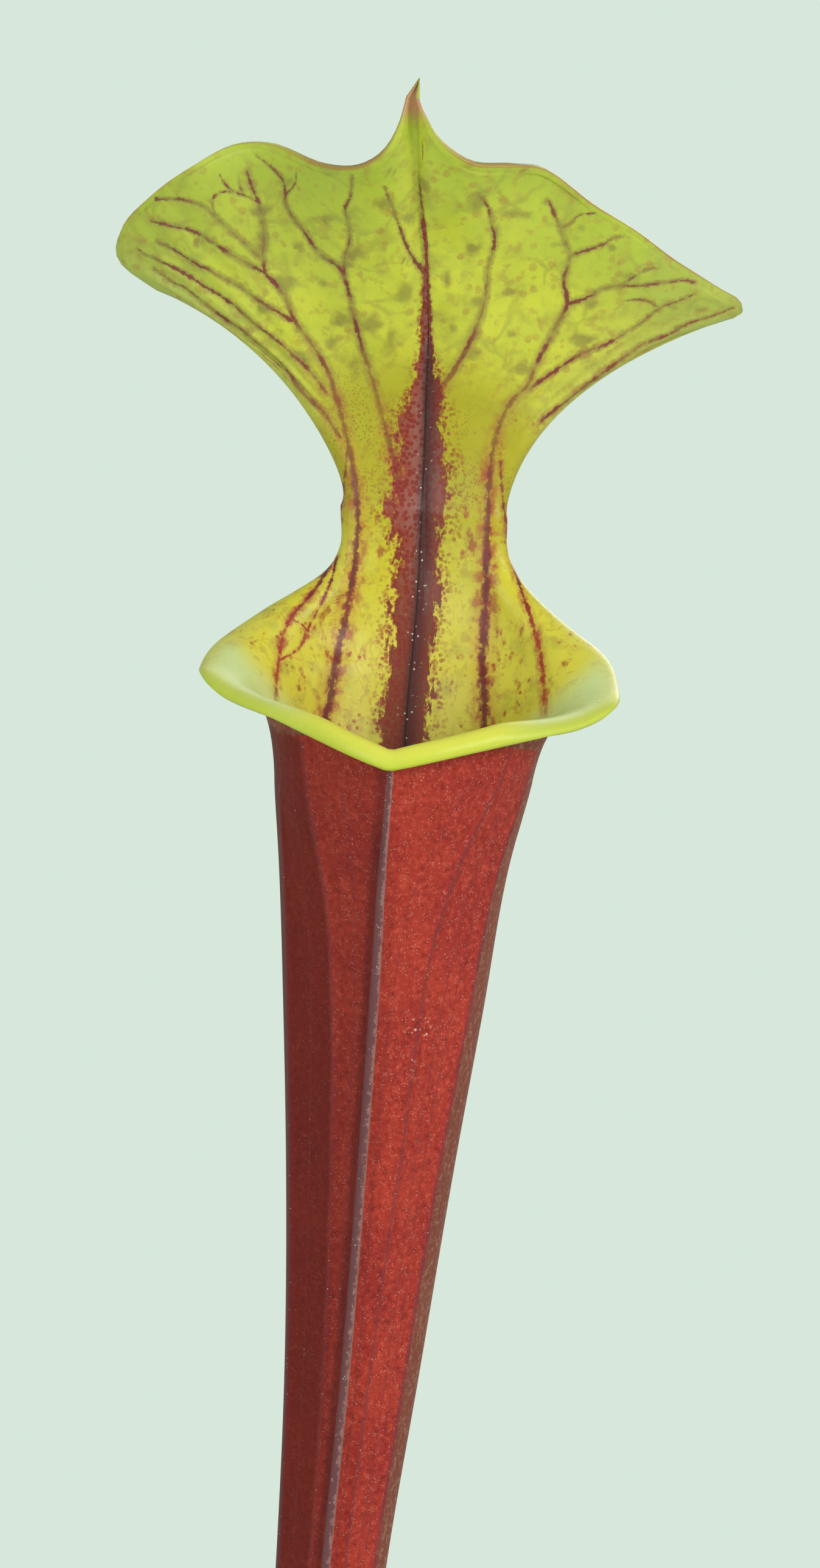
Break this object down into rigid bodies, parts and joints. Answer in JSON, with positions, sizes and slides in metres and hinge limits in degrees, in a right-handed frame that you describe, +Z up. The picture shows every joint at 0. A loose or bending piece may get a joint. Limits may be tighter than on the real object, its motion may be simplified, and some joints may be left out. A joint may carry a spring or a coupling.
{
  "type": "potted pitcher plant",
  "caption": "Trumpet pitcher plant in a round nursery pot: a tall ribbed red tube with a front wing, a rolled spouted lip and a broad veined hood, with low young leaves.",
  "frame": {"origin": "middle of the pot's underside", "axes": "+Z up along the pot's axis; the hood opens and the wing faces towards -Y; +X to the viewer's right"},
  "size_m": [0.15, 0.15, 0.5768],
  "materials": {
    "pot": "moulded, satin, slightly dusty",
    "soil": "moist fibrous peat with white grit and moss",
    "rhizome": "rough brown bark with papery scars",
    "pitcher": "satin leaf, velvety red tube and veined yellow-green hood",
    "young_leaf": "satin green leaf with a red flush",
    "blade": "satin green leaf"
  },
  "bodies": {
    "root": {"pot": "pot", "soil": "soil", "rhizome": "rhizome", "pitcher": "pitcher", "young_pitcher": "young_leaf", "phyllode_1": "blade", "phyllode_2": "blade", "phyllode_3": "blade", "phyllode_4": "blade"}
  },
  "joints": []
}
